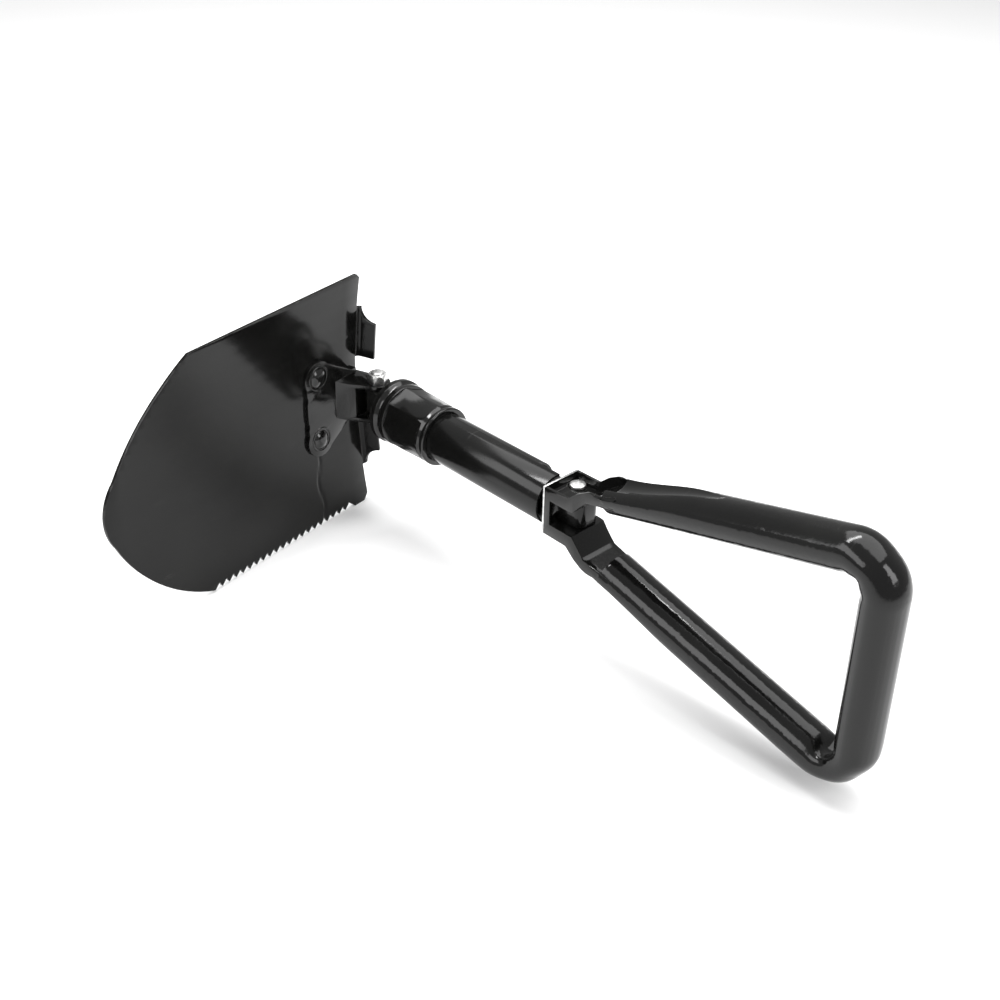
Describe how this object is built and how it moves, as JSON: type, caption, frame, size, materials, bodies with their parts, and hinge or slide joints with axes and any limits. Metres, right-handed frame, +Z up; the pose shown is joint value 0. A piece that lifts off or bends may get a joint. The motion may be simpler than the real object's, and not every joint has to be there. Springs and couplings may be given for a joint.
{
  "type": "folding camp shovel",
  "caption": "Folding camp shovel in its hoe position: dished pointed steel blade with one saw edge, screw locking collar, tube shaft and folding triangular grip.",
  "frame": {"origin": "middle of the base of the whole shovel, standing on the blade's toothed edge and a corner of the grip", "axes": "+X along the shaft from the blade hinge to the grip, +Z up along both hinge pins, -Y the way the blade points in its hoe position"},
  "size_m": [0.407, 0.2212, 0.161],
  "materials": {
    "blade_steel": "dark glossy enamel on sheet steel, worn and lightly scuffed",
    "bracket_black": "glossy black enamel",
    "rivet_black": "glossy black enamel over a domed head",
    "zinc_steel": "bright zinc plating with a hammered face",
    "tube_black": "semi-gloss black enamel",
    "collar_black": "glossy moulded black",
    "grip_black": "semi-gloss black enamel, bare steel at the cut edges"
  },
  "bodies": {
    "shaft": {"hinge_head": "bracket_black", "head_pin": "zinc_steel", "shaft_tube": "tube_black", "handle_tongue": "tube_black"},
    "blade": {"blade": "blade_steel", "blade_bracket": "bracket_black", "blade_rivet_upper": "rivet_black", "blade_rivet_lower": "rivet_black", "hinge_pin": "zinc_steel", "hinge_nut": "zinc_steel"},
    "washer": {"collar_washer": "zinc_steel"},
    "collar": {"locking_collar": "collar_black"},
    "handle": {"handle": "grip_black", "handle_pivot": "zinc_steel"}
  },
  "joints": [
    {"name": "blade_hinge", "type": "hinge", "parent": "shaft", "child": "blade", "pos_m": [-0.17815, 0.09007, 0.0805], "axis": [0, 0, 1], "range_deg": [-99.2, 78]},
    {"name": "collar_slide", "type": "slide", "parent": "shaft", "child": "washer", "axis": [1, 0, 0], "range_m": [0, 0.006]},
    {"name": "collar_spin", "type": "hinge", "parent": "washer", "child": "collar", "pos_m": [-0.14015, 0.09007, 0.0805], "axis": [1, 0, 0], "range_deg": [0, 720]},
    {"name": "handle_hinge", "type": "hinge", "parent": "shaft", "child": "handle", "pos_m": [-0.01165, 0.09807, 0.0805], "axis": [0, 0, 1], "range_deg": [0, 172]}
  ],
  "couplings": [
    {"joint": "collar_spin", "follows": "collar_slide", "rad_per_m": 2094.4}
  ]
}
